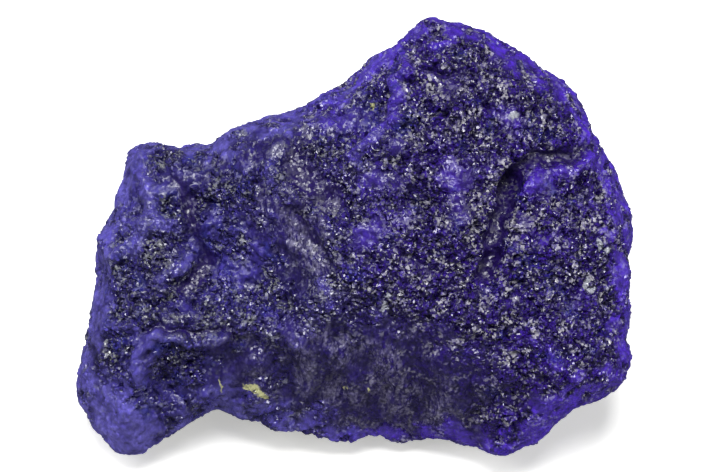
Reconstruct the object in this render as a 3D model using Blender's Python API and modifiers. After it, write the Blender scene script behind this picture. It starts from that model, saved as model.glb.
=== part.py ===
"""One rough lump of lazurite, broken on every side and lying on a flat break.

The lump is designed lying face up, in millimetres: X runs across the broad face, Y up it and Z out
of it, and the origin is the middle of the rim. It is then leaned back, so that the face looks up and
forward, and its underside is cut flat where it rests. The finished object is in metres, +Z up.
"""

from math import cos, pi, radians, sin

import bmesh
import bpy
import numpy as np
from mathutils import Matrix, Vector, noise

MM = 0.001

# Driving dimensions, in millimetres and degrees.
FACE_HEIGHT = 6.0
LEFT_HEIGHT = 3.75
BACK_DEPTH = 13.5
REST_DEPTH = 6.6
LEAN = 28.0
RIM_SHARPNESS = 9
RIM_WANDER = 1.1
TRIANGLES = 10800

# The rough break all over: the width of its chips and lumps, and how deep they are. It is held back
# near the rim, where the faces' evening out also rounds a little off.
LARGE_CHIPS = (3.6, 0.62)
SMALL_CHIPS = (1.6, 0.30)
LUMPS = (2.2, 0.22)
RIM_HOLD = 0.8
RIM_ROUNDED_OFF = 0.07
FINE_FACE = 0.2

# The rim as seen square on to the face, clockwise from the left shoulder.
RIM = (
    (-10.25, 5.25), (-9.35, 5.55), (-8.30, 5.25), (-7.75, 5.45), (-7.10, 5.40), (-6.25, 5.90),
    (-5.00, 6.55), (-4.00, 6.85), (-2.75, 7.15), (-1.45, 7.80), (0.00, 8.35), (0.75, 9.15),
    (1.75, 10.00), (2.95, 10.80), (3.75, 11.45), (4.45, 11.85), (5.10, 11.60), (5.85, 11.55),
    (7.25, 11.05), (7.75, 10.65), (8.75, 10.30), (9.75, 9.45), (11.00, 8.70), (12.00, 7.45),
    (12.15, 6.75), (12.90, 5.75), (13.40, 4.75), (14.35, 2.75), (14.50, 1.85), (14.30, 0.25),
    (14.45, -1.35), (14.35, -2.25), (14.45, -3.50), (14.35, -4.15), (14.60, -5.20), (14.25, -6.15),
    (13.95, -6.65), (12.75, -7.35), (11.75, -7.80), (10.50, -8.65), (9.25, -9.40), (7.65, -10.10),
    (6.75, -9.75), (5.75, -9.50), (4.75, -9.25), (3.15, -9.60), (2.00, -9.25), (1.00, -9.20),
    (-0.10, -9.55), (-1.55, -9.20), (-2.35, -8.85), (-3.35, -8.90), (-4.15, -8.35), (-5.25, -8.15),
    (-6.45, -7.75), (-7.10, -8.10), (-8.25, -8.80), (-9.75, -9.50), (-11.40, -10.00), (-12.00, -9.25),
    (-12.75, -8.55), (-13.45, -7.50), (-13.55, -6.25), (-13.15, -4.60), (-12.85, -3.50),
    (-12.70, -1.90), (-12.50, 0.25), (-12.15, 1.50), (-11.55, 2.40), (-11.05, 3.75), (-10.75, 4.35),
)

# Where the face bends: the brow over its lower slope, the larger half's left edge and a bevel.
BROW = (
    (-12.6, -3.9), (-9.75, -3.65), (-7.25, -3.85), (-5.5, -4.0), (-4.25, -3.5), (-2.25, -2.75),
    (-0.35, -2.2), (1.25, -2.5), (2.75, -3.0), (4.25, -3.35), (6.25, -4.0), (7.75, -4.75),
    (9.75, -5.85), (11.75, -6.75), (14.4, -6.9),
)
MASS_EDGE = (
    (-1.35, 6.9), (-2.25, 6.3), (-3.1, 5.9), (-3.6, 5.2), (-3.65, 4.3), (-3.4, 3.3), (-2.75, 2.3),
    (-2.05, 1.4), (-1.35, 0.3), (-0.75, -0.8), (-0.35, -2.2), (-0.9, -4.5), (-1.6, -7.0), (-2.2, -9.5),
)
BEVEL = ((7.4, -10.3), (7.7, -9.3), (9.5, -8.5), (10.3, -7.9), (11.5, -7.4), (12.75, -6.85), (14.2, -6.5))

# Steps: a path that is higher on its left, then the drop, how far it heals over, and its softness.
STEPS = (
    (((6.6, -3.0), (6.9, -1.5), (7.1, -0.3), (7.3, 0.8), (7.7, 2.0), (8.1, 3.0), (8.7, 3.8),
      (9.8, 4.4), (10.8, 4.8), (12.2, 5.4)), 0.50, 2.8, 0.55),
    (((4.1, 9.7), (3.4, 9.8), (2.6, 9.4), (2.25, 8.6), (2.15, 7.5), (2.15, 6.6), (1.1, 6.0),
      (0.5, 5.4), (0.2, 4.5), (0.4, 3.5), (0.9, 2.7)), 0.95, 2.8, 0.55),
)

# Ridges, and grooves where the height is negative: a path, the height and the width.
LINES = (
    (((12.2, 5.4), (10.8, 4.8), (9.8, 4.4), (8.7, 3.8), (8.1, 3.0), (7.7, 2.0), (7.3, 0.8),
      (7.1, -0.3), (6.9, -1.5), (6.6, -3.0)), -0.42, 0.42),
    (((3.4, 10.1), (3.8, 9.7), (4.25, 9.25), (4.75, 8.95), (5.5, 8.75), (6.8, 8.6)), -0.34, 0.32),
    (((-10.1, 4.4), (-9.75, 2.9), (-9.0, 2.0), (-8.25, 1.3), (-7.6, 0.4), (-7.2, -0.8)), -0.42, 0.5),
    (((-10.2, 4.9), (-10.0, 3.6), (-9.8, 2.3), (-10.6, 1.2), (-11.6, 0.3), (-12.2, 0.1)), 0.38, 0.5),
    (((-10.2, -3.5), (-9.25, -3.85), (-7.25, -3.75), (-6.4, -4.0), (-5.4, -4.1)), 0.42, 0.45),
    (((-9.75, -3.7), (-10.3, -5.2), (-10.3, -6.8), (-10.9, -8.4), (-11.4, -9.6)), 0.48, 0.75),
    (((2.3, -3.2), (2.2, -5.0), (2.6, -6.8), (2.4, -8.8)), 0.42, 0.6),
    (((-4.9, -4.6), (-4.6, -6.2), (-3.9, -7.6), (-3.4, -8.6)), 0.42, 0.6),
    (((-2.3, -3.4), (-2.0, -5.3), (-1.5, -7.2)), 0.40, 0.6),
    (((8.2, -5.2), (8.0, -7.2), (7.6, -9.4)), 0.40, 0.6),
)

# Rises, and hollows where the height is negative: the middle, the two radii and the height.
BOWLS = (
    ((-6.9, -0.9), (2.3, 2.6), -0.60),
    ((-7.6, -2.4), (2.2, 1.0), -0.25),
    ((-10.7, 1.9), (0.75, 1.0), -0.45),
    ((-8.9, -6.6), (1.3, 1.3), -0.60),
    ((1.3, 7.3), (1.3, 2.0), -0.35),
    ((4.6, -1.6), (1.2, 1.0), -0.40),
    ((1.6, 0.4), (1.4, 1.1), 0.30),
    ((10.6, 1.2), (1.6, 2.4), 0.30),
)

# Breaks on the back: compass heading and downward tilt in degrees, and distance from the core.
CORE = np.array((0.6, 0.4, -2.0))
BREAKS = (
    (90, 8, 9.6), (128, 24, 9.9), (62, 20, 10.6), (20, 14, 12.6), (352, 34, 11.2), (330, 16, 13.4),
    (160, 12, 11.8), (196, 30, 11.0), (222, 52, 9.2), (300, 56, 8.0), (262, 62, 6.9), (40, 50, 9.0),
    (110, 52, 8.4), (175, 56, 8.6), (5, 62, 8.2),
)
BREAK_START = 1.6


def smooth_loop(points, steps):
    """A closed Catmull-Rom curve through the points."""
    points = np.array(points)
    before, after, beyond = (np.roll(points, shift, axis=0) for shift in (1, -1, -2))
    share = (np.arange(steps) / steps)[:, None, None]
    curve = 0.5 * (
        2 * points
        + (after - before) * share
        + (2 * before - 5 * points + 4 * after - beyond) * share**2
        + (3 * points - before - 3 * after + beyond) * share**3
    )
    return curve.transpose(1, 0, 2).reshape(-1, 2)


def rim_radius(heading):
    """Distance from the middle to the rim, for each heading about Z."""
    rim = smooth_loop(RIM, 6)
    angle = np.arctan2(rim[:, 1], rim[:, 0])
    order = np.argsort(angle)
    return np.interp(heading, angle[order], np.hypot(*rim.T)[order], period=2 * pi) + RIM_ROUNDED_OFF


def follow(path, x, y):
    """For each point: its distance from the path, its side (+1 left), and how far along it lies, 0 to 1."""
    path = np.array(path)
    lengths = np.hypot(*np.diff(path, axis=0).T)
    reached = np.concatenate([[0], np.cumsum(lengths)])
    nearest = np.full(x.shape, np.inf)
    side = np.ones(x.shape)
    along = np.zeros(x.shape)
    for (start, end), length, begun in zip(zip(path, path[1:]), lengths, reached):
        run_x, run_y = (end - start) / length
        step = np.clip((x - start[0]) * run_x + (y - start[1]) * run_y, 0, length)
        off_x, off_y = x - start[0] - step * run_x, y - start[1] - step * run_y
        distance = np.hypot(off_x, off_y)
        closer = distance < nearest - 1e-6
        nearest = np.where(closer, distance, nearest)
        side = np.where(closer, np.where(run_x * off_y - run_y * off_x >= 0, 1, -1), side)
        along = np.where(closer, (begun + step) / reached[-1], along)
    return nearest, side, along


def eased(share):
    share = np.clip(share, 0, 1)
    return share * share * (3 - 2 * share)


def fading(along, ends=0.22):
    """1 along a path, easing to 0 at both of its ends."""
    return eased(along / ends) * eased((1 - along) / ends)


def lower_of(first, second, blend):
    """The lower of two heights, rounded where they cross."""
    share = np.clip(0.5 + 0.5 * (second - first) / blend, 0, 1)
    return second + (first - second) * share - blend * share * (1 - share)


def higher_of(first, second, blend):
    return -lower_of(-first, -second, blend)


def right_mass(x, y):
    """The larger half of the face: a near-level top that falls to the crown, the right and the left flank."""
    top = FACE_HEIGHT - 0.02 * (x - 5) - 0.05 * (y - 3)
    right = FACE_HEIGHT - 0.5 - 0.17 * (x - 9)
    crown = FACE_HEIGHT - 0.5 - 0.20 * (y - 7)
    distance, side, _ = follow(MASS_EDGE, x, y)
    flank = FACE_HEIGHT - 0.55 + np.where(side > 0, 1.0, -0.58) * distance
    mass = lower_of(lower_of(top, right, 0.5), crown, 0.6)
    return lower_of(mass, flank, 0.35)


def left_mass(x, y):
    """The smaller half, which lies lower."""
    return LEFT_HEIGHT + 0.02 * (x + 8) - 0.05 * (y - 1)


def below_brow(x, y):
    """The face's lower part, which turns down under the brow, steeply on the right mass."""
    distance, side, _ = follow(BROW, x, y)
    steepness = 0.32 + 0.50 * eased((x + 6.5) / 4.5) - 0.42 * eased((x - 6.5) / 4.5)
    level = LEFT_HEIGHT - 0.2 + 2.0 * eased((x + 5.5) / 5.0) - 0.13 * np.maximum(x - 5, 0)
    return level + np.where(side > 0, 1.2, -steepness) * distance


def beyond_bevel(x, y):
    """The narrow bevel at the lower right, which falls away to the rim."""
    distance, side, _ = follow(BEVEL, x, y)
    return 3.6 + np.where(side > 0, 1.2, -1.9) * distance


def face_height(x, y):
    """Height of the broad face over the middle of the rim, before its edge is rounded off."""
    height = higher_of(right_mass(x, y), left_mass(x, y), 0.5)
    height = lower_of(height, below_brow(x, y), 0.8)
    height = lower_of(height, beyond_bevel(x, y), 0.25)
    for path, drop, reach, softness in STEPS:
        distance, side, along = follow(path, x, y)
        low_side = eased(0.5 - 0.5 * side * distance / softness)
        height -= drop * low_side * np.exp(-((distance / reach) ** 2)) * fading(along)
    for path, rise, width in LINES:
        distance, _, along = follow(path, x, y)
        height += rise * np.exp(-((distance / width) ** 2)) * fading(along)
    for middle, radii, rise in BOWLS:
        height += rise * np.exp(-(((x - middle[0]) / radii[0]) ** 2) - ((y - middle[1]) / radii[1]) ** 2)
    return height


def shape_front(spread, heading, radius):
    """Points of the face: level inside, rounded over at the rim."""
    x, y = spread * radius * np.cos(heading), spread * radius * np.sin(heading)
    edge = (1 - spread**RIM_SHARPNESS) ** 0.5
    return np.stack([x, y, face_height(x, y) * edge], axis=1)


def break_off(points, heading, tilt, distance):
    """Draws what lies beyond one break in towards the core, onto the break's plane."""
    level = cos(radians(tilt))
    facing = np.array((cos(radians(heading)) * level, sin(radians(heading)) * level, -sin(radians(tilt))))
    facing = facing @ np.array(Matrix.Rotation(radians(LEAN), 3, "X"))
    out = points - CORE
    beyond = np.maximum(out @ facing, 1e-6)
    return CORE + out * np.minimum(1, distance / beyond)[:, None]


def shape_back(direction, heading, radius):
    """Points of the back: a deep bowl from the rim, broken flat on many sides."""
    out = np.hypot(direction[:, 0], direction[:, 1]) ** 0.8
    depth = BACK_DEPTH * np.abs(direction[:, 2]) ** 0.8
    points = np.stack([out * radius * np.cos(heading), out * radius * np.sin(heading), -depth], axis=1)
    broken = points.copy()
    for break_heading, tilt, distance in BREAKS:
        broken = break_off(broken, break_heading, tilt, distance)
    return points + (broken - points) * eased(depth / BREAK_START)[:, None]


def whole_lump():
    """The lump's main forms, as one closed mesh object in millimetres."""
    bpy.ops.mesh.primitive_ico_sphere_add(subdivisions=7, radius=1)
    lump = bpy.context.object
    direction = vertex_values(lump.data, "co")
    direction /= np.linalg.norm(direction, axis=1)[:, None]
    heading = np.arctan2(direction[:, 1], direction[:, 0])
    radius = rim_radius(heading)
    spread = np.arccos(np.clip(direction[:, 2], -1, 1)) / (pi / 2)
    front = shape_front(np.minimum(spread, 1), heading, radius)
    back = shape_back(direction, heading, radius)
    lump.data.vertices.foreach_set("co", np.where((spread <= 1)[:, None], front, back).ravel())
    return lump


def vertex_values(mesh, name):
    """One vector for each vertex of the mesh, such as its place or its normal."""
    values = np.empty(len(mesh.vertices) * 3)
    mesh.vertices.foreach_get(name, values)
    return values.reshape(-1, 3)


def with_even_faces(lump):
    """The object with its mesh made again from small faces of one size."""
    remesh = lump.modifiers.new("even faces", "REMESH")
    remesh.mode = "VOXEL"
    remesh.voxel_size = FINE_FACE
    even = bpy.data.meshes.new_from_object(lump.evaluated_get(bpy.context.evaluated_depsgraph_get()))
    lump.modifiers.remove(remesh)
    lump.data = even
    return lump


def chip_depth(place, size):
    """How deep a place lies in its shell-shaped chip, about 1 in the middle and 0 on the ridges."""
    place = place / size
    lowest = 1.0
    for site in noise.voronoi(place)[1]:
        out = place - site
        lean = noise.cell_vector(site * 11.0) - Vector((0.5, 0.5, 0.5))
        lowest = min(lowest, out.dot(out) + 0.9 * out.dot(lean) + 0.4 * lean.x)
    return 1 - lowest


def roughen(lump):
    """Chips the whole surface and lays lumps over it, sparing the outline of the rim."""
    places = vertex_values(lump.data, "co")
    normals = vertex_values(lump.data, "normal")
    depths = np.zeros(len(places))
    for index, place in enumerate(Vector(place) for place in places):
        chips = sum(depth * chip_depth(place, size) for size, depth in (LARGE_CHIPS, SMALL_CHIPS))
        depths[index] = chips - LUMPS[1] * noise.fractal(place / LUMPS[0], 0.9, 2.1, 3)
    depths -= depths.mean()
    depths *= 0.25 + 0.75 * eased(np.abs(places[:, 2]) / RIM_HOLD)
    places -= normals * depths[:, None]
    wander = np.array([noise.noise(Vector((x / 9, y / 9, 4.2))) for x, y, _ in places])
    places[:, 2] += 2 * RIM_WANDER * wander * np.exp(-((places[:, 2] / 3) ** 2))
    lump.data.vertices.foreach_set("co", places.ravel())
    lump.data.update()


def simplified(lump):
    """A bmesh of the lump with fewer triangles, kept small where the surface bends most."""
    decimate = lump.modifiers.new("fewer triangles", "DECIMATE")
    decimate.ratio = TRIANGLES / (2 * len(lump.data.polygons))
    coarse = bmesh.new()
    coarse.from_object(lump, bpy.context.evaluated_depsgraph_get())
    bpy.data.objects.remove(lump)
    return coarse


def cut_rest(solid):
    """Cuts the leaned lump's underside flat, as the break that it rests on."""
    geometry = solid.verts[:] + solid.edges[:] + solid.faces[:]
    floor = Vector((0, 0, -REST_DEPTH))
    bmesh.ops.bisect_plane(solid, geom=geometry, plane_co=floor, plane_no=(0, 0, -1), clear_outer=True)
    rest_edges = [edge for edge in solid.edges if edge.is_boundary]
    bmesh.ops.triangle_fill(solid, edges=rest_edges, use_beauty=True, normal=(0, 0, -1))


def stand_on_floor(solid):
    """Moves the lump so that the origin is on the floor, under the middle of its box."""
    places = np.array([vertex.co for vertex in solid.verts])
    middle = (places.min(axis=0) + places.max(axis=0)) / 2
    bmesh.ops.translate(solid, verts=solid.verts, vec=(-middle[0], -middle[1], REST_DEPTH))


def lazurite_material():
    """Deep violet blue with a glassy break."""
    material = bpy.data.materials.new("lazurite")
    material.use_nodes = True
    shader = material.node_tree.nodes["Principled BSDF"]
    shader.inputs["Base Color"].default_value = (0.030, 0.017, 0.145, 1)
    shader.inputs["Roughness"].default_value = 0.38
    shader.inputs["Metallic"].default_value = 0.0
    return material


def main():
    for obj in list(bpy.data.objects):
        bpy.data.objects.remove(obj)
    specimen = bpy.data.collections.new("lazurite crystal")
    bpy.context.scene.collection.children.link(specimen)

    lump = with_even_faces(whole_lump())
    roughen(lump)
    solid = simplified(with_even_faces(lump))
    bmesh.ops.rotate(solid, verts=solid.verts, matrix=Matrix.Rotation(radians(LEAN), 3, "X"))
    cut_rest(solid)
    stand_on_floor(solid)
    bmesh.ops.scale(solid, verts=solid.verts, vec=(MM, MM, MM))
    bmesh.ops.recalc_face_normals(solid, faces=solid.faces)

    mesh = bpy.data.meshes.new("lazurite_crystal")
    solid.to_mesh(mesh)
    solid.free()
    mesh.materials.append(lazurite_material())
    crystal = bpy.data.objects.new("lazurite_crystal", mesh)
    specimen.objects.link(crystal)


main()
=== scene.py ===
"""The look of a rough lump of lazurite: a sugary, glinting break in deep violet blue.

The stone's fine surface is worked in millimetres and made metres at the end. Its "face" coordinates
are the broad face seen square on, as the camera sees it: X across, Y up and Z out of it, from the
middle of the stone's outline.
"""

from math import cos, pi, radians, sin

import bpy
import numpy as np
from mathutils import Matrix, Vector


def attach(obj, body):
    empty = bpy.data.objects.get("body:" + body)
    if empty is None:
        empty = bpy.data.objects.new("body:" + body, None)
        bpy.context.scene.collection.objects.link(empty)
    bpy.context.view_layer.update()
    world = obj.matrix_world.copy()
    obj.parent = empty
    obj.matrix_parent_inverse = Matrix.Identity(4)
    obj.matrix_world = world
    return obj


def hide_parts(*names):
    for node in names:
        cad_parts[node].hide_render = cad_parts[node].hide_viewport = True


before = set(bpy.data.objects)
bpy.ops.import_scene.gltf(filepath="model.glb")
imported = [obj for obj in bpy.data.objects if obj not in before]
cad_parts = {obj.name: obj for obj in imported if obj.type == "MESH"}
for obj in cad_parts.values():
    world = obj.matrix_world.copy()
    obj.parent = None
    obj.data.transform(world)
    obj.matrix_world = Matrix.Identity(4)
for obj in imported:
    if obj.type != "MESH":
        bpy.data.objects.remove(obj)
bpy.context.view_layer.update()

MM = 0.001
NODE = "lazurite_crystal"

# The camera looks square on to the broad face. A pixel is the size that one covers on the stone.
ELEVATION = 62.0
PIXEL = 0.05
IMAGE_SIZE = (708, 472)
OUTLINE_MIDDLE = (354.5, 237.0)
CAMERA_DISTANCE = 450.0
CLIP_START = 0.01
SENSOR = 36.0

# How the fine mesh is made, in millimetres. Where the break is sugary past FLAT_SUGAR, its faces stay flat.
WELD_DISTANCE = 0.0001
FINE_FACE = 0.085
SOFTENING = {"factor": 0.5, "iterations": 22}
TRIANGLES = 190000
FLAT_SUGAR = 0.35
OUTLINE_STEPS = 240

# The inputs of the sugary break's tree, in millimetres.
BREAK = {
    "Lump size": 1.6, "Lump depth": 0.26,
    "Plate size": 1.1, "Plate depth": 0.22,
    "Grain size": 0.44, "Grain depth": 0.50,
    "Crumb size": 0.22, "Crumb depth": 0.70,
    "Pit size": 0.9, "Pit depth": 0.22,
    "Streak width": 0.3, "Streak length": 1.8, "Streak depth": 0.50,
    "Cluster size": 2.2, "Seed": 4.0,
}
SEED_STEP = 37.0

# How much each layer of grains bulges, and how much of it shows: the gain with the roughness, and the least.
GRAIN_BULGE = {"Plate": 0.3, "Grain": 0.5, "Crumb": 0.6}
GRAIN_SHOWS = {"Plate": (0.9, 0.3), "Grain": (1.1, 0.2), "Crumb": (1.0, 0.15)}

# A grain's mean squared reach is MEAN_REACH of its size squared. A noise's values lie evenly about MIDDLE.
MEAN_REACH = 0.3
MIDDLE = 0.5

# Rays that measure how thick the stone is, and how many steps each measure is blurred over.
RAY_START = 0.03
RAY_LENGTH = 20.0
BLUR_STEPS = {"thin": 12, "even": 160, "lost": 30}

# How far the seeded places, the satin fibres, the patches and the rim are carried about by the wobble.
WOBBLE = {"grains": 0.9, "fibres": 0.9, "patches": 5.0, "rim": (4.5, 4.5, 0)}

# How smooth the rim is, how much of a bevel counts as rim, and how glassy the satin still is.
RIM_SMOOTH = 0.75
BEVEL_SHARE = 0.9
SATIN_GLASSY = 0.3

# What each mask eases over: the value where it starts, the value where it is full, and its own values there
# where they aren't 0 and 1.
SPANS = {
    "patch": (1.2, 0.6),
    "fleck": (1.2, 0.7),
    "behind": (-6.5, -9.0),
    "patchy satin": (0.46, 0.60, 0.0, 0.85),
    "thin stone": (6.0, 0.6),
    "rim": (1.3, -0.1),
    "face side": (-0.45, 0.05),
    "ridge": (0.05, 0.24, 0.0, 0.6),
    "crease": (-0.06, -0.34, 0.0, 0.85),
    "left side": (-2.0, -6.0, 0.0, 0.08),
    "sugar": (0.28, 0.49),
    "chosen pit": (0.35, 0.8),
    "pit": (0.36, 0.08),
    "above the table": (0.0, 0.5),
    "hollow_shade": (0.02, -0.16),
    "gap_shade": (0.3, 0.75),
    "violet": (1.0, 13.0),
    "broad tint": (0.38, 0.64),
    "blue patch": (0.54, 0.68, 0.0, 0.7),
    "strand": (0.43, 0.56),
    "veil": (0.46, 0.62, 0.08, 0.8),
    "low on the face": (4.0, 1.0, 0.25, 1.0),
    "velvet": (0.35, 0.65, 0.3, 1.0),
    "crest glow": (0.05, 0.40, 0.0, 0.4),
    "thin glow": (0.3, 1.0, 0.0, 0.5),
    "mottling": (0.36, 0.60, 0.42, 1.0),
    "grain light": (0.0, 1.0, -0.6, 0.5),
    "unevenness": (0.36, 0.64, 0.72, 1.28),
    "glinting grain": (0.60, 0.74),
    "painted_glint": (0.47, 0.62),
    "front": (-8.0, -7.0),
    "grain roughness": (0.1, 0.8, 0.35, 0.06),
}

# The scale, detail and roughness of each noise. The scale is 1 where the tree's inputs give it or its place
# is stretched first.
NOISES = {
    "satin behind": (0.22, 3.0, 0.55),
    "lumps": (1.0, 2.0, 0.55),
    "clusters": (1.0, 3.0, 0.55),
    "fibres": (1.0, 3.0, 0.55),
    "broad tint": (0.28, 4.0, 0.55),
    "blue patch": (0.7, 4.0, 0.6),
    "strands": (1.0, 4.0, 0.7),
    "veil": (0.45, 3.0, 0.55),
    "velvet": (7.0, 2.0, 0.55),
    "mottling": (1.1, 5.0, 0.65),
    "unevenness": (3.5, 5.0, 0.7),
    "painted_glint": (1.3, 4.0, 0.55),
}

# The scale and detail of the noises that carry places about.
SWIRLS = {"wobble": (1.1, 2.0), "bumps": (5.0, 3.0), "flow": (0.35, 1.0), "torn": (4.0, 3.0)}

# The stone's colours, and those that go from bluish at the left to purplish at the right.
COLOURS = {
    "blue patch": (0.017, 0.021, 0.22, 1),
    "satin": (0.008, 0.002, 0.070, 1),
    "strand": (0.140, 0.127, 0.230, 1),
    # Painted shade: darker where the surface dips into a hollow.
    "hollow_shade": (0.007, 0.003, 0.045, 1),
    # Painted shade: darker along the creases.
    "crease": (0.010, 0.003, 0.060, 1),
}
TINTS = {
    "deep": ((0.019, 0.013, 0.108, 1), (0.020, 0.007, 0.125, 1)),
    "clear": ((0.034, 0.024, 0.205, 1), (0.039, 0.012, 0.26, 1)),
    "sugar": ((0.018, 0.014, 0.070, 1), (0.010, 0.005, 0.055, 1)),
    # Painted light: a glow where the stone is thin or stands proud, and a sheen on its rims and ridges.
    "edge": ((0.108, 0.090, 0.43, 1), (0.064, 0.020, 0.47, 1)),
    # Painted glints: pale specks on the grains that lean toward the key light.
    "painted_glint": ((0.23, 0.24, 0.22, 1), (0.46, 0.45, 0.45, 1)),
}

# How much of each mask the colour takes, below 0 where it darkens (the ridge's share is painted light, the
# hollow's and the gap's painted shade), how much of the painted glints shows as (gain, least) with the sugar,
# and how far the broad noise carries the violet, in millimetres.
COLOUR_SHARES = {"satin": 0.9, "sugar": 0.5, "ridge": 0.7, "hollow_shade": 0.45, "gap_shade": -0.5}
GLINT_SHOWS = (0.6, 0.05)
VIOLET_WANDER = 14.0

# The glinting facets: their size and bulge, their lean as (gain, least) with the calm and its gain with the
# sugar, and the bumps below them as (gain, least) with the calm.
FACET = {"Size": 0.135, "Bulge": 0.06}
FACET_LEAN = (-0.35, 0.5)
SUGAR_LEAN = 0.55
BUMPINESS = (-0.2, 0.42)
SATIN_CALM = 0.5

# How the satin's strands flow and are stretched, how torn the flecks are, and how rough the satin is.
STRAND_FLOW = 2.2
STRAND_STRETCH = (6.0, 1.3, 1.3)
FLECK_TEAR = 0.5
SATIN_ROUGHNESS = (0.08, 0.33)
REFRACTION = 1.5

# How the paths of the folds wander: for each wave its size in millimetres, its turns with the places across
# and up the face, and its start. FOLD_FACING is how fast they come in as the surface turns to the face's Z.
WANDER_ACROSS = ((0.16, 0.0, 1.9, 0.7), (0.09, 1.3, 4.7, 0.0))
WANDER_UP = ((0.18, 1.7, 0.0, 2.1), (0.10, 5.1, -1.1, 0.0))
FOLD_FACING = 3

# The white table, and the lights: name, azimuth and elevation in degrees, size in metres, and brightness.
# Azimuth 0 is the camera's side, and the brightness is the light's radiance.
TABLE = {
    "size": 6.0,
    "seen": (0.93, 0.93, 0.91, 1),
    "lighting": (0.80, 0.80, 0.79, 1),
    "mirrored": (0.06, 0.06, 0.06, 1),
    "glow": 0.42,
    "glow colour": (1, 1, 0.97, 1),
    "roughness": 0.9,
    "gloss": 0.1,
}
LIGHT_DISTANCE = 1.5
LIGHTS = (
    ("key light", 172, 84, 0.7, 18.0),
    ("left light", 262, 50, 1.2, 3.0),
    ("right light", 78, 26, 1.0, 2.4),
    ("front light", 20, 12, 0.6, 0.5),
)
SURROUND = {"lighting": 0.12, "seen": 1.0}

# What the tree stores on the surface for the material.
MARKS = ("satin", "sugar", "rim", "ridge", "crease", "thin_stone", "crest", "hollow_shade")

# Where the break is satiny and fibrous: the middle and radii in face millimetres, and the turn in degrees.
SATIN_PATCHES = (
    ((-3.05, -0.2), (1.5, 3.7), 24),
    ((-3.8, 4.9), (3.0, 0.9), 22),
    ((1.2, -7.0), (6.6, 3.5), -6),
    ((-5.6, -6.6), (1.8, 2.2), 0),
)

# Where pale strands lie thickest on the satin, in the same terms.
STRAND_PATCHES = (
    ((1.8, -7.3), (0.9, 2.2), 12),
    ((-2.5, -6.7), (0.6, 1.5), 0),
    ((4.2, -8.5), (0.8, 0.9), 30),
    ((-0.4, -5.3), (1.5, 0.6), 0),
    ((-2.2, -0.8), (0.8, 3.2), 28),
)

# The smooth bevels at the lower right and on the lobe at the lower left, paler with the rim's painted light,
# in the same terms.
BEVELS = (
    ((10.6, -8.9), (3.6, 0.95), 28),
    ((-12.2, -9.4), (2.0, 2.6), 40),
)

# Low ridges and creases on the face: the height and width in millimetres, and the path in face millimetres.
# A crease has a height below 0.
FOLDS = (
    (-0.66, 0.36, ((11.4, 4.4), (10.3, 4.1), (9.3, 3.8), (8.3, 3.2), (7.7, 2.7))),
    (-0.66, 0.36, ((7.7, 2.7), (7.5, 1.9), (7.4, 0.9), (6.9, -0.4), (6.5, -1.7))),
    (0.36, 0.40, ((11.9, 3.75), (10.5, 3.4), (9.5, 3.0), (8.6, 2.3))),
    (-0.26, 0.12, ((3.3, 8.8), (3.9, 8.3), (4.5, 8.1), (5.3, 8.0))),
    (0.12, 0.16, ((3.1, 8.6), (3.7, 8.05), (4.6, 7.8))),
    (0.36, 0.30, ((2.4, 9.1), (2.5, 8.3), (2.1, 7.7), (2.4, 7.0), (1.8, 5.7), (0.9, 4.9), (0.1, 4.2))),
    (0.20, 0.26, ((-4.0, 3.5), (-4.1, 4.2), (-3.9, 5.0), (-2.9, 5.4), (-1.2, 5.8))),
    (0.40, 0.38, ((-10.6, 4.0), (-10.8, 3.2), (-10.2, 1.8), (-10.4, 0.8), (-10.9, -0.2), (-12.4, -0.9))),
    (0.34, 0.40, ((-10.0, 0.5), (-8.8, 0.5), (-8.1, -0.3), (-8.5, -1.4), (-9.5, -2.1))),
    (-0.42, 0.50, ((-8.9, 2.6), (-8.3, 1.4), (-8.0, -0.1), (-7.7, -1.2), (-8.3, -2.4))),
    (-0.34, 0.20, ((-10.4, -4.6), (-9.5, -4.8), (-8.6, -4.7), (-7.5, -4.6), (-6.7, -4.5), (-6.1, -5.3))),
    (0.20, 0.26, ((-10.2, -5.1), (-9.2, -5.3), (-7.7, -5.2), (-6.6, -5.1))),
    (0.30, 0.45, ((-4.1, 3.5), (-4.0, 1.7), (-3.4, -0.2), (-1.9, -1.7), (-1.2, -3.3))),
    (0.24, 0.30, ((-10.1, -5.1), (-10.8, -5.8), (-11.0, -6.6), (-10.8, -7.4))),
    (0.20, 0.26, ((-13.1, -5.4), (-12.7, -4.7), (-11.8, -4.2), (-11.0, -4.5))),
    (0.22, 0.55, ((1.1, -4.0), (1.3, -5.4), (2.0, -6.7), (2.4, -8.2), (1.8, -9.5))),
    (0.16, 0.45, ((-2.1, -3.8), (-2.4, -5.4), (-2.1, -7.1))),
    (0.16, 0.40, ((-4.3, -5.8), (-4.8, -7.1), (-5.2, -8.2))),
    (0.16, 0.45, ((4.3, -6.2), (4.6, -7.4), (4.3, -8.8))),
    (0.14, 0.35, ((-0.5, -5.4), (-0.1, -6.8), (-0.4, -8.1))),
    (0.24, 0.24, ((9.1, -8.2), (10.3, -8.0), (11.8, -7.6), (13.7, -7.0))),
    (-0.24, 0.30, ((-2.7, 1.9), (-2.5, 0.4), (-1.8, -0.8))),
    (-0.26, 0.30, ((2.2, -0.8), (2.9, -1.2), (3.8, -1.6))),
    (-0.40, 0.85, ((-3.0, 3.6), (-2.0, 2.6), (-1.4, 2.0))),
    (0.14, 0.50, ((7.3, -5.8), (8.5, -5.2), (9.9, -5.8), (11.0, -6.9))),
)
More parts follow.
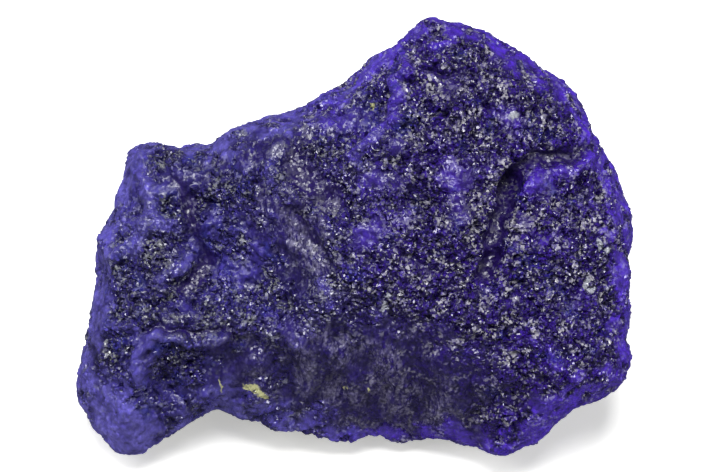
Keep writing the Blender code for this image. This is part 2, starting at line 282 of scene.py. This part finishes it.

# Flecks on the face that are only colour: cream flecks, and pearly ones that are painted glints of small shiny
# cleavage faces. The middle and radii in face millimetres, and the turn in degrees.
CREAM = (0.37, 0.37, 0.19, 1)
CLEAVAGE_GLINT = (0.30, 0.31, 0.36, 1)
FLECKS = (
    (CREAM, (-5.3, -7.6), (0.36, 0.17), -10), (CREAM, (-4.9, -7.75), (0.17, 0.42), 28),
    (CREAM, (-4.6, -8.0), (0.30, 0.12), -20), (CREAM, (-6.75, -7.5), (0.07, 0.36), 12),
    (CREAM, (-0.5, -7.6), (0.11, 0.11), 0), (CREAM, (0.7, -7.7), (0.09, 0.12), 0),
    (CREAM, (0.95, 6.6), (0.14, 0.16), 0),
    (CLEAVAGE_GLINT, (12.3, -0.4), (0.12, 0.34), 8), (CLEAVAGE_GLINT, (12.75, -0.65), (0.17, 0.17), 40),
    (CLEAVAGE_GLINT, (11.65, -2.3), (0.12, 0.34), -15), (CLEAVAGE_GLINT, (11.9, -2.65), (0.22, 0.13), 20),
    (CLEAVAGE_GLINT, (1.7, -2.9), (0.16, 0.10), 10), (CLEAVAGE_GLINT, (1.5, -3.5), (0.14, 0.26), -25),
    (CLEAVAGE_GLINT, (8.0, 6.1), (0.30, 0.22), 0),
)


def face_axes():
    """The face's X, Y and Z directions in the row frame, as the rows of a matrix."""
    tilt = radians(ELEVATION)
    return np.array(((1, 0, 0), (0, sin(tilt), cos(tilt)), (0, -cos(tilt), sin(tilt))))


def vertex_values(mesh, name):
    """The places ("co") or normals ("normal") of a mesh's vertices."""
    values = np.empty(len(mesh.vertices) * 3)
    mesh.vertices.foreach_get(name, values)
    return values.reshape(-1, 3)


def face_origin():
    """Where face coordinates start in the row frame: the outline's middle, level with the highest point."""
    across = vertex_values(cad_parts[NODE].data, "co") @ face_axes().T
    low, high = across.min(axis=0), across.max(axis=0)
    middle = np.array(((low[0] + high[0]) / 2, (low[1] + high[1]) / 2, high[2]))
    return middle @ face_axes()


def add(tree, kind, inputs=(), **settings):
    """Adds a node with its settings, and joins or sets its inputs, which go by name or number."""
    made = tree.nodes.new(kind)
    for name, value in settings.items():
        setattr(made, name, value)
    for key, source in dict(inputs).items():
        if isinstance(source, bpy.types.NodeSocket):
            tree.links.new(source, made.inputs[key])
        else:
            made.inputs[key].default_value = source
    return made


def maths(tree, operation, *sources):
    return add(tree, "ShaderNodeMath", enumerate(sources), operation=operation).outputs[0]


def product(tree, first, second):
    return maths(tree, "MULTIPLY", first, second)


def total(tree, first, second):
    return maths(tree, "ADD", first, second)


def less(tree, first, second):
    return maths(tree, "SUBTRACT", first, second)


def weighed(tree, value, gain, least):
    """The value times the gain, added to the least."""
    return maths(tree, "MULTIPLY_ADD", value, gain, least)


def largest(tree, *sources):
    top = sources[0]
    for source in sources[1:]:
        top = maths(tree, "MAXIMUM", top, source)
    return top


def vectors(tree, operation, *sources):
    made = add(tree, "ShaderNodeVectorMath", enumerate(sources), operation=operation)
    return made.outputs["Value" if operation in ("DOT_PRODUCT", "LENGTH") else "Vector"]


def scaled(tree, vector, factor):
    return add(tree, "ShaderNodeVectorMath", {0: vector, "Scale": factor}, operation="SCALE").outputs[0]


def part_of(tree, vector, axis):
    return add(tree, "ShaderNodeSeparateXYZ", {0: vector}).outputs[axis]


def fade(tree, value, span):
    """Eases a mask over the value, as its span in SPANS says."""
    start, end, *own = SPANS[span]
    low, high = own or (0.0, 1.0)
    inputs = {"Value": value, "From Min": start, "From Max": end, "To Min": low, "To Max": high}
    return add(tree, "ShaderNodeMapRange", inputs, interpolation_type="SMOOTHSTEP").outputs["Result"]


def noise(tree, place, name, times=None):
    """A noise of NOISES, from 0 to 1. Where a socket gives its scale, times is that socket."""
    scale, detail, roughness = NOISES[name]
    scale = scale if times is None else times
    inputs = {"Vector": place, "Scale": scale, "Detail": detail, "Roughness": roughness}
    return add(tree, "ShaderNodeTexNoise", inputs).outputs[0]


def from_middle(tree, colour):
    """A texture's colour as a vector that is 0 on average."""
    return vectors(tree, "SUBTRACT", colour, (MIDDLE, MIDDLE, MIDDLE))


def swirl(tree, place, name):
    """A vector that wanders smoothly from place to place, as in SWIRLS."""
    scale, detail = SWIRLS[name]
    made = add(tree, "ShaderNodeTexNoise", {"Vector": place, "Scale": scale, "Detail": detail})
    return from_middle(tree, made.outputs["Color"])


def cells(tree, place, size):
    """Cells of about this size."""
    scale = maths(tree, "DIVIDE", 1.0, size)
    return add(tree, "ShaderNodeTexVoronoi", {"Vector": place, "Scale": scale}).outputs


def seen_from_face(tree, place):
    """Turns a place in the row frame, in millimetres, into face coordinates."""
    moved = vectors(tree, "SUBTRACT", place, Vector(face_origin()) / MM)
    turn = {"Vector": moved, "Angle": -radians(90 - ELEVATION)}
    return add(tree, "ShaderNodeVectorRotate", turn, rotation_type="X_AXIS").outputs[0]


def new_tree(name, kind, inputs, outputs):
    """A node tree with named inputs and outputs, given as (name, socket type)."""
    tree = bpy.data.node_groups.new(name, kind)
    for label, socket_type in inputs:
        tree.interface.new_socket(label, in_out="INPUT", socket_type=socket_type)
    for label, socket_type in outputs:
        tree.interface.new_socket(label, in_out="OUTPUT", socket_type=socket_type)
    return tree, tree.nodes.new("NodeGroupInput").outputs, tree.nodes.new("NodeGroupOutput").inputs


def broken_grains(tree, place, size, bulge):
    """The height of grains about this size, each a low dome that leans its own way.

    They step down to one another. The mean reach is taken off, which keeps the mean height at 0.
    """
    grain = cells(tree, place, size)
    out = vectors(tree, "SUBTRACT", place, grain["Position"])
    lean = from_middle(tree, grain["Color"])
    level = product(tree, product(tree, size, size), MEAN_REACH)
    reach = less(tree, vectors(tree, "DOT_PRODUCT", out, out), level)
    drop = product(tree, reach, maths(tree, "DIVIDE", bulge, size))
    return less(tree, vectors(tree, "DOT_PRODUCT", out, lean), drop)


def in_ellipse(tree, face, middle, radii, turn):
    """How far out a place on the face lies in an ellipse: 0 in its middle and 1 on its edge."""
    moved = vectors(tree, "SUBTRACT", face, (*middle, 0))
    turning = {"Vector": moved, "Angle": -radians(turn)}
    turned = add(tree, "ShaderNodeVectorRotate", turning, rotation_type="Z_AXIS").outputs[0]
    return vectors(tree, "LENGTH", vectors(tree, "MULTIPLY", turned, (1 / radii[0], 1 / radii[1], 0)))


def in_patches(tree, face, patches):
    """1 inside any of the patches, with a soft edge."""
    return largest(tree, *(fade(tree, in_ellipse(tree, face, *patch), "patch") for patch in patches))


def satin_break(tree, face):
    """1 where the break is satiny and fibrous: the patches on the face, and patches of its own behind."""
    patch = in_patches(tree, face, SATIN_PATCHES)
    behind = fade(tree, part_of(tree, face, "Z"), "behind")
    patchy = fade(tree, noise(tree, face, "satin behind"), "patchy satin")
    return add(tree, "ShaderNodeMix", {0: behind, 2: patch, 3: patchy}, data_type="FLOAT").outputs[0]


def stored(tree, name):
    return add(tree, "GeometryNodeInputNamedAttribute", {"Name": name}, data_type="FLOAT").outputs[0]


def blurred(tree, value, name, kind="FLOAT"):
    """A measure evened out over the neighbouring vertices, as many times as BLUR_STEPS says."""
    inputs = {"Value": value, "Iterations": BLUR_STEPS[name]}
    return add(tree, "GeometryNodeBlurAttribute", inputs, data_type=kind).outputs[0]


def thinness(tree, stone, place, normal):
    """1 where a ray that goes straight into the stone soon comes out again."""
    through = add(tree, "GeometryNodeRaycast", {
        "Target Geometry": stone,
        "Source Position": vectors(tree, "SUBTRACT", place, scaled(tree, normal, RAY_START)),
        "Ray Direction": scaled(tree, normal, -1.0),
        "Ray Length": RAY_LENGTH,
    })
    return blurred(tree, fade(tree, through.outputs["Hit Distance"], "thin stone"), "thin")


def break_marks(tree, given, place, normal, wobble, seeded):
    """How rough each place is, and its marks: shares from 0 to 1, and its crest in millimetres."""
    face = seen_from_face(tree, place)
    proud = vectors(tree, "SUBTRACT", place, blurred(tree, place, "even", "FLOAT_VECTOR"))
    inset = total(tree, stored(tree, "inset"), vectors(tree, "DOT_PRODUCT", wobble, WOBBLE["rim"]))
    facing = vectors(tree, "DOT_PRODUCT", normal, tuple(face_axes()[2]))
    rim = product(tree, fade(tree, inset, "rim"), fade(tree, facing, "face side"))
    wandering = vectors(tree, "ADD", face, scaled(tree, wobble, WOBBLE["patches"]))
    rim = largest(tree, rim, product(tree, in_patches(tree, wandering, BEVELS), BEVEL_SHARE))
    satin = product(tree, satin_break(tree, wandering), less(tree, 1.0, rim))
    fold = stored(tree, "fold")
    ridge = product(tree, fade(tree, fold, "ridge"), less(tree, 1.0, satin))
    crease = fade(tree, fold, "crease")
    rough = less(tree, 1.0, largest(tree, satin, product(tree, rim, RIM_SMOOTH), ridge, crease))
    clusters = noise(tree, seeded, "clusters", maths(tree, "DIVIDE", 1.0, given["Cluster size"]))
    clusters = less(tree, clusters, fade(tree, part_of(tree, face, "X"), "left side"))
    sugar = product(tree, fade(tree, clusters, "sugar"), weighed(tree, satin, SATIN_GLASSY, rough))
    return rough, {
        "satin": satin, "sugar": sugar, "rim": rim, "ridge": ridge, "crease": crease,
        "thin_stone": thinness(tree, given["Stone"], place, normal),
        "crest": vectors(tree, "DOT_PRODUCT", proud, normal),
    }


def satin_fibres(tree, given, place, wobble):
    """The height of the satin's fibres, which run up the face."""
    length = maths(tree, "DIVIDE", 1.0, given["Streak length"])
    width = maths(tree, "DIVIDE", 1.0, given["Streak width"])
    stretch = add(tree, "ShaderNodeCombineXYZ", {"X": width, "Y": length, "Z": length}).outputs[0]
    flowing = vectors(tree, "ADD", seen_from_face(tree, place), scaled(tree, wobble, WOBBLE["fibres"]))
    fibres = noise(tree, vectors(tree, "MULTIPLY", flowing, stretch), "fibres")
    return product(tree, less(tree, fibres, MIDDLE), given["Streak depth"])


def pits_in_sugar(tree, given, seeded, sugar):
    """The depth of the pits where grains have dropped out. Only some of the cells have one."""
    holes = cells(tree, seeded, given["Pit size"])
    chosen = fade(tree, part_of(tree, holes["Color"], "X"), "chosen pit")
    pits = product(tree, fade(tree, holes["Distance"], "pit"), chosen)
    return product(tree, pits, product(tree, given["Pit depth"], sugar))


def break_height(tree, given, place, wobble, seeded, rough, marks):
    """The height of the lumps, layers of grains, pits, fibres and folds: nothing where the stone rests."""
    layers = {}
    for name, where in (("Plate", rough), ("Grain", rough), ("Crumb", marks["sugar"])):
        layer = broken_grains(tree, seeded, given[f"{name} size"], GRAIN_BULGE[name])
        layer = product(tree, layer, given[f"{name} depth"])
        layers[name] = product(tree, layer, weighed(tree, where, *GRAIN_SHOWS[name]))
    pits = pits_in_sugar(tree, given, seeded, marks["sugar"])
    fibres = product(tree, satin_fibres(tree, given, place, wobble), marks["satin"])
    lumps = noise(tree, seeded, "lumps", maths(tree, "DIVIDE", 1.0, given["Lump size"]))
    lumps = product(tree, less(tree, lumps, MIDDLE), given["Lump depth"])
    height = less(tree, total(tree, layers["Plate"], layers["Grain"]), pits)
    height = total(tree, height, total(tree, layers["Crumb"], fibres))
    height = total(tree, height, total(tree, lumps, stored(tree, "fold")))
    return product(tree, height, fade(tree, part_of(tree, place, "Z"), "above the table"))


def sugary_break():
    """The modifier tree that roughens the stone's surface and stores what kind of break each place is."""
    tree, given, result = new_tree(
        "sugary break", "GeometryNodeTree",
        (
            ("Stone", "NodeSocketGeometry"),
            *((name, "NodeSocketFloat") for name in BREAK),
            ("Surface", "NodeSocketMaterial"),
        ),
        (("Stone", "NodeSocketGeometry"),),
    )
    place = tree.nodes.new("GeometryNodeInputPosition").outputs[0]
    normal = tree.nodes.new("GeometryNodeInputNormal").outputs[0]
    wobble = swirl(tree, place, "wobble")
    shift = add(tree, "ShaderNodeCombineXYZ", {"Z": product(tree, given["Seed"], SEED_STEP)}).outputs[0]
    seeded = vectors(tree, "ADD", vectors(tree, "ADD", place, shift), scaled(tree, wobble, WOBBLE["grains"]))

    rough, marks = break_marks(tree, given, place, normal, wobble, seeded)
    height = break_height(tree, given, place, wobble, seeded, rough, marks)
    # Where the surface dips, for the painted shade in the hollows.
    marks["hollow_shade"] = fade(tree, height, "hollow_shade")
    marked = given["Stone"]
    for name in MARKS:
        marked = add(
            tree, "GeometryNodeStoreNamedAttribute",
            {"Geometry": marked, "Name": name, "Value": marks[name]},
            data_type="FLOAT", domain="POINT",
        ).outputs[0]

    raised = total(tree, height, blurred(tree, stored(tree, "lost"), "lost"))
    offset = scaled(tree, normal, raised)
    broken = add(tree, "GeometryNodeSetPosition", {"Geometry": marked, "Offset": offset}).outputs[0]
    real = add(tree, "GeometryNodeRealizeInstances", {"Geometry": broken}).outputs[0]
    painted = add(tree, "GeometryNodeSetMaterial", {"Geometry": real, "Material": given["Surface"]})
    tree.links.new(painted.outputs[0], result["Stone"])
    return tree


def set_inputs(modifier, values):
    """Sets a Geometry Nodes modifier's inputs by name, through the sockets' identifiers."""
    for item in modifier.node_group.interface.items_tree:
        if item.item_type == "SOCKET" and item.in_out == "INPUT" and item.name in values:
            modifier[item.identifier] = values[item.name]


def apply_modifiers(obj):
    """Makes the object's mesh the plain one that its modifiers leave."""
    graph = bpy.context.evaluated_depsgraph_get()
    evaluated = obj.evaluated_get(graph)
    obj.data = bpy.data.meshes.new_from_object(evaluated, preserve_all_data_layers=True, depsgraph=graph)
    obj.modifiers.clear()


def on_the_face(mesh):
    """Each vertex's face coordinates, for a mesh in millimetres."""
    return (vertex_values(mesh, "co") - face_origin() / MM) @ face_axes().T


def inset_from_outline(mesh):
    """How far inside the stone's outline each vertex lies, as the camera sees it, in millimetres."""
    seen = on_the_face(mesh)
    radius = np.hypot(seen[:, 0], seen[:, 1])
    turn = np.arctan2(seen[:, 1], seen[:, 0])
    spans = np.linspace(-pi, pi, OUTLINE_STEPS + 1)
    reach = np.zeros(OUTLINE_STEPS)
    np.maximum.at(reach, np.clip(np.digitize(turn, spans) - 1, 0, OUTLINE_STEPS - 1), radius)
    middles = (spans[1:] + spans[:-1]) / 2
    around = 2 * pi
    slope = (np.roll(reach, -1) - np.roll(reach, 1)) / (2 * around / OUTLINE_STEPS)
    square_on = np.cos(np.arctan2(slope, reach))
    outline = np.interp(turn, middles, reach, period=around)
    return (outline - radius) * np.interp(turn, middles, square_on, period=around)


def distance_to(path, places):
    """How far each flat place is from a path of straight stretches."""
    nearest = np.full(len(places), np.inf)
    for start, end in zip(np.array(path[:-1]), np.array(path[1:])):
        along = end - start
        share = np.clip((places - start) @ along / (along @ along), 0, 1)
        nearest = np.minimum(nearest, np.linalg.norm(places - start - share[:, None] * along, axis=1))
    return nearest


def wander(waves, across, up):
    """The sum of the waves at each place on the face."""
    carried = np.zeros(len(across))
    for size, with_across, with_up, start in waves:
        carried += size * np.sin(with_across * across + with_up * up + start)
    return carried


def fold_heights(mesh):
    """The height of the low ridges and creases at each vertex, on the stone's broad face alone."""
    across, up, _ = on_the_face(mesh).T
    carried = (across + wander(WANDER_ACROSS, across, up), up + wander(WANDER_UP, across, up))
    places = np.stack(carried, axis=1)
    facing = np.clip(FOLD_FACING * (vertex_values(mesh, "normal") @ face_axes()[2]), 0, 1)
    heights = np.zeros(len(places))
    for height, width, path in FOLDS:
        heights += height * np.exp(-((distance_to(path, places) / width) ** 2))
    return heights * facing


def facet_the_sugar(mesh):
    """Leaves the faces of the sugary break flat and makes the others smooth."""
    sugar = np.empty(len(mesh.vertices))
    mesh.attributes["sugar"].data.foreach_get("value", sugar)
    corners = np.empty(len(mesh.loops), dtype=int)
    mesh.loops.foreach_get("vertex_index", corners)
    starts = np.empty(len(mesh.polygons), dtype=int)
    mesh.polygons.foreach_get("loop_start", starts)
    sizes = np.diff(np.append(starts, len(corners)))
    share = np.add.reduceat(sugar[corners], starts) / sizes
    mesh.polygons.foreach_set("use_smooth", share < FLAT_SUGAR)


def softened_stone():
    """The stone in millimetres, in small even faces, with its facets softened and that loss measured."""
    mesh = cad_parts[NODE].data.copy()
    mesh.transform(Matrix.Scale(1 / MM, 4))
    stone = bpy.data.objects.new("lazurite_stone", mesh)
    bpy.context.scene.collection.objects.link(stone)
    weld = stone.modifiers.new("joined faces", "WELD")
    weld.merge_threshold = WELD_DISTANCE
    remesh = stone.modifiers.new("even faces", "REMESH")
    remesh.mode = "VOXEL"
    remesh.voxel_size = FINE_FACE
    apply_modifiers(stone)

    before = vertex_values(stone.data, "co")
    soften = stone.modifiers.new("softened facets", "SMOOTH")
    soften.factor = SOFTENING["factor"]
    soften.iterations = SOFTENING["iterations"]
    apply_modifiers(stone)
    mesh = stone.data
    lost = np.sum((before - vertex_values(mesh, "co")) * vertex_values(mesh, "normal"), axis=1)
    for name, values in (("lost", lost), ("inset", inset_from_outline(mesh)), ("fold", fold_heights(mesh))):
        mesh.attributes.new(name, "FLOAT", "POINT").data.foreach_set("value", values)
    return stone


def fine_stone(surface):
    """The stone with its fine surface, made over the plain solid."""
    stone = softened_stone()
    rough = stone.modifiers.new("sugary break", "NODES")
    rough.node_group = sugary_break()
    set_inputs(rough, {**BREAK, "Surface": surface})
    apply_modifiers(stone)
    thinning = stone.modifiers.new("fewer faces where flat", "DECIMATE")
    thinning.ratio = TRIANGLES / sum(len(face.vertices) - 2 for face in stone.data.polygons)
    apply_modifiers(stone)
    stone.data.transform(Matrix.Scale(MM, 4))
    facet_the_sugar(stone.data)
    stone.data.name = stone.name
    return stone


def grain_facets():
    """Shader group: each grain is a slightly domed crystal face that leans its own way, with gaps round it."""
    tree, given, result = new_tree(
        "grain facets", "ShaderNodeTree",
        (
            ("Vector", "NodeSocketVector"), ("Size", "NodeSocketFloat"), ("Lean", "NodeSocketFloat"),
            ("Bulge", "NodeSocketFloat"), ("Normal", "NodeSocketVector"),
        ),
        (("Normal", "NodeSocketVector"), ("Grain", "NodeSocketFloat"), ("Gap shade", "NodeSocketFloat")),
    )
    grain = cells(tree, given["Vector"], given["Size"])
    lean = from_middle(tree, grain["Color"])
    out = vectors(tree, "SUBTRACT", given["Vector"], grain["Position"])
    dome = scaled(tree, out, maths(tree, "DIVIDE", given["Bulge"], given["Size"]))
    leaning = vectors(tree, "ADD", given["Normal"], scaled(tree, lean, given["Lean"]))
    tree.links.new(vectors(tree, "NORMALIZE", vectors(tree, "ADD", leaning, dome)), result["Normal"])
    tree.links.new(part_of(tree, grain["Color"], "Y"), result["Grain"])
    # Near the cell edges, for the painted shade between grains.
    tree.links.new(fade(tree, grain["Distance"], "gap_shade"), result["Gap shade"])
    return tree


def mixed(tree, share, first, second):
    """A colour between two."""
    return add(tree, "ShaderNodeMix", {0: share, 6: first, 7: second}, data_type="RGBA").outputs[2]


def glinting_facets(tree, place, marks):
    """The grain facets over small bumps, both calmer at the rim and on the satin."""
    normal = add(tree, "ShaderNodeNewGeometry").outputs["Normal"]
    calm = largest(tree, marks["rim"], product(tree, marks["satin"], SATIN_CALM))
    bumps = scaled(tree, swirl(tree, place, "bumps"), weighed(tree, calm, *BUMPINESS))
    bumpy = vectors(tree, "NORMALIZE", vectors(tree, "ADD", normal, bumps))
    lean = weighed(tree, marks["sugar"], SUGAR_LEAN, weighed(tree, calm, *FACET_LEAN))
    inputs = {"Vector": place, "Normal": bumpy, "Lean": lean, **FACET}
    return add(tree, "ShaderNodeGroup", inputs, node_tree=grain_facets()).outputs


def pale_strands(tree, face, satin):
    """Fine strands that flow over the satin, thickest in patches of their own and low on the face."""
    carried = swirl(tree, face, "flow")
    flowing = vectors(tree, "ADD", face, scaled(tree, carried, STRAND_FLOW))
    strands = noise(tree, vectors(tree, "MULTIPLY", flowing, STRAND_STRETCH), "strands")
    strands = product(tree, fade(tree, strands, "strand"), satin)
    veiled = fade(tree, noise(tree, flowing, "veil"), "veil")
    veiled = largest(tree, veiled, in_patches(tree, vectors(tree, "ADD", face, carried), STRAND_PATCHES))
    low = fade(tree, part_of(tree, face, "Y"), "low on the face")
    return product(tree, strands, product(tree, veiled, low))


def stone_colour(tree, place, face, marks, strands):
    """The colour before its grains, with pale strands, painted light on the edges, crests, ridges and thin
    parts, painted shade in the hollows and creases, and the colour of the painted glints.
    """
    broad = noise(tree, place, "broad tint")
    violet = fade(tree, weighed(tree, broad, VIOLET_WANDER, part_of(tree, face, "X")), "violet")
    tints = {name: mixed(tree, violet, *ends) for name, ends in TINTS.items()}
    colour = mixed(tree, fade(tree, broad, "broad tint"), tints["deep"], tints["clear"])
    # Painted glow: lighter on the crests and where the stone is thin.
    glow = fade(tree, marks["crest"], "crest glow")
    glow = largest(tree, glow, fade(tree, marks["thin_stone"], "thin glow"))
    # Painted sheen on the rims and ridges, mottled.
    edges = largest(tree, marks["rim"], product(tree, marks["ridge"], COLOUR_SHARES["ridge"]))
    edges = product(tree, edges, fade(tree, noise(tree, place, "mottling"), "mottling"))
    velvet = fade(tree, noise(tree, place, "velvet"), "velvet")
    for share, layer in (
        (fade(tree, noise(tree, place, "blue patch"), "blue patch"), COLOURS["blue patch"]),
        (product(tree, marks["satin"], COLOUR_SHARES["satin"]), COLOURS["satin"]),
        (product(tree, strands, velvet), COLOURS["strand"]),
        (product(tree, marks["sugar"], COLOUR_SHARES["sugar"]), tints["sugar"]),
        (largest(tree, glow, edges), tints["edge"]),
        # Painted shade in the hollows.
        (product(tree, marks["hollow_shade"], COLOUR_SHARES["hollow_shade"]), COLOURS["hollow_shade"]),
        # Painted shade along the creases.
        (marks["crease"], COLOURS["crease"]),
    ):
        colour = mixed(tree, share, colour, layer)
    return colour, tints["painted_glint"]


def painted_grain_light(tree, place, facets, sugar, colour, glint_colour):
    """The colour with painted light and shade on the sugary grains by how they lean to the key light, painted
    shade in the gaps between them, an uneven tone, and painted glints on some grains.
    """
    # Painted light and shade: a sugary grain that leans toward the key light is lighter, one that leans away
    # is darker.
    lean_light = weighed(tree, sugar, fade(tree, facets["Grain"], "grain light"), 1.0)
    # Painted shade: darker in the gaps between the sugary grains.
    gap_shade_share = weighed(tree, product(tree, facets["Gap shade"], sugar), COLOUR_SHARES["gap_shade"], 1.0)
    uneven = fade(tree, noise(tree, place, "unevenness"), "unevenness")
    colour = scaled(tree, colour, product(tree, lean_light, product(tree, gap_shade_share, uneven)))
    # Painted glints: some grains that lean toward the key light are painted pale.
    painted_glint = fade(tree, noise(tree, place, "painted_glint"), "painted_glint")
    painted_glint = product(tree, fade(tree, facets["Grain"], "glinting grain"), painted_glint)
    return mixed(tree, product(tree, painted_glint, weighed(tree, sugar, *GLINT_SHOWS)), colour, glint_colour)


def flecked(tree, face, colour):
    """The colour with its cream flecks and its pearly painted glints of cleavage faces, which have torn edges
    and lie on the face's side alone.
    """
    torn = vectors(tree, "ADD", face, scaled(tree, swirl(tree, face, "torn"), FLECK_TEAR))
    front = fade(tree, part_of(tree, face, "Z"), "front")
    for tint, middle, radii, turn in FLECKS:
        share = fade(tree, in_ellipse(tree, torn, middle, radii, turn), "fleck")
        colour = mixed(tree, product(tree, share, front), colour, tint)
    return colour


def lazurite():
    """The stone's material: deep violet blue, with glassy grains, greyer satin breaks, cream flecks, and
    painted light and shade: glints, glowing edges and darker hollows, creases and gaps.
    """
    material = bpy.data.materials.new("lazurite")
    material.use_nodes = True
    tree = material.node_tree
    shader = tree.nodes["Principled BSDF"]
    place = scaled(tree, add(tree, "ShaderNodeTexCoord").outputs["Object"], 1 / MM)
    face = seen_from_face(tree, place)
    marks = {name: add(tree, "ShaderNodeAttribute", attribute_name=name).outputs["Fac"] for name in MARKS}

    facets = glinting_facets(tree, place, marks)
    strands = pale_strands(tree, face, marks["satin"])
    colour, glint_colour = stone_colour(tree, place, face, marks, strands)
    colour = painted_grain_light(tree, place, facets, marks["sugar"], colour, glint_colour)
    tree.links.new(flecked(tree, face, colour), shader.inputs["Base Color"])

    satiny = weighed(tree, strands, *SATIN_ROUGHNESS)
    grainy = fade(tree, facets["Grain"], "grain roughness")
    roughness = add(tree, "ShaderNodeMix", {0: marks["sugar"], 2: satiny, 3: grainy}, data_type="FLOAT")
    tree.links.new(roughness.outputs[0], shader.inputs["Roughness"])
    tree.links.new(facets["Normal"], shader.inputs["Normal"])
    shader.inputs["IOR"].default_value = REFRACTION
    return material


def white_table():
    """A plain white surface under the stone, lit from below a little where the camera sees it."""
    bpy.ops.mesh.primitive_plane_add(size=TABLE["size"])
    table = bpy.context.object
    table.name = "white_table"
    material = bpy.data.materials.new("white table")
    material.use_nodes = True
    tree = material.node_tree
    path = add(tree, "ShaderNodeLightPath").outputs
    shader = tree.nodes["Principled BSDF"]
    elsewhere = mixed(tree, path["Is Diffuse Ray"], TABLE["mirrored"], TABLE["lighting"])
    colour = mixed(tree, path["Is Camera Ray"], elsewhere, TABLE["seen"])
    tree.links.new(colour, shader.inputs["Base Color"])
    tree.links.new(product(tree, path["Is Camera Ray"], TABLE["glow"]), shader.inputs["Emission Strength"])
    shader.inputs["Emission Color"].default_value = TABLE["glow colour"]
    shader.inputs["Roughness"].default_value = TABLE["roughness"]
    shader.inputs["Specular IOR Level"].default_value = TABLE["gloss"]
    table.data.materials.append(material)


def soft_light(name, azimuth, elevation, size, brightness):
    """A square light that faces the stone and that the camera doesn't see."""
    lamp = bpy.data.lights.new(name, "AREA")
    lamp.shape = "SQUARE"
    lamp.size = size
    lamp.energy = brightness * pi * size * size
    light = bpy.data.objects.new(name, lamp)
    bpy.context.scene.collection.objects.link(light)
    turn, rise = radians(azimuth), radians(elevation)
    towards = Vector((sin(turn) * cos(rise), -cos(turn) * cos(rise), sin(rise)))
    light.location = towards * LIGHT_DISTANCE
    light.rotation_mode = "QUATERNION"
    light.rotation_quaternion = towards.to_track_quat("Z", "Y")
    light.visible_camera = False


def studio():
    """A bright, soft studio: a strong light from above, weaker ones at the sides, and a pale surround."""
    for light in LIGHTS:
        soft_light(*light)
    world = bpy.data.worlds.new("pale surround")
    world.use_nodes = True
    bpy.context.scene.world = world
    tree = world.node_tree
    seen = add(tree, "ShaderNodeLightPath").outputs["Is Camera Ray"]
    ends = {0: seen, 2: SURROUND["lighting"], 3: SURROUND["seen"]}
    background = tree.nodes["Background"]
    background.inputs["Color"].default_value = (1, 1, 1, 1)
    strength = add(tree, "ShaderNodeMix", ends, data_type="FLOAT").outputs[0]
    tree.links.new(strength, background.inputs["Strength"])
    bpy.context.scene.view_settings.view_transform = "Standard"


def camera():
    """The photograph's view: square on to the face, with the stone's outline in its place in the picture."""
    right, up, out = (Vector(axis) for axis in face_axes())
    aside = (IMAGE_SIZE[0] / 2 - OUTLINE_MIDDLE[0]) * PIXEL * MM
    aloft = (OUTLINE_MIDDLE[1] - IMAGE_SIZE[1] / 2) * PIXEL * MM
    aim = Vector(face_origin()) + right * aside + up * aloft
    lens = bpy.data.cameras.new("camera")
    lens.sensor_width = SENSOR
    lens.lens = SENSOR * CAMERA_DISTANCE / (IMAGE_SIZE[0] * PIXEL)
    lens.clip_start = CLIP_START
    viewer = bpy.data.objects.new("camera", lens)
    bpy.context.scene.collection.objects.link(viewer)
    viewer.location = aim + out * CAMERA_DISTANCE * MM
    viewer.rotation_mode = "QUATERNION"
    viewer.rotation_quaternion = out.to_track_quat("Z", "Y")
    bpy.context.scene.camera = viewer


def main():
    stone = fine_stone(lazurite())
    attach(stone, "root")
    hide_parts(NODE)
    white_table()
    studio()
    camera()


main()
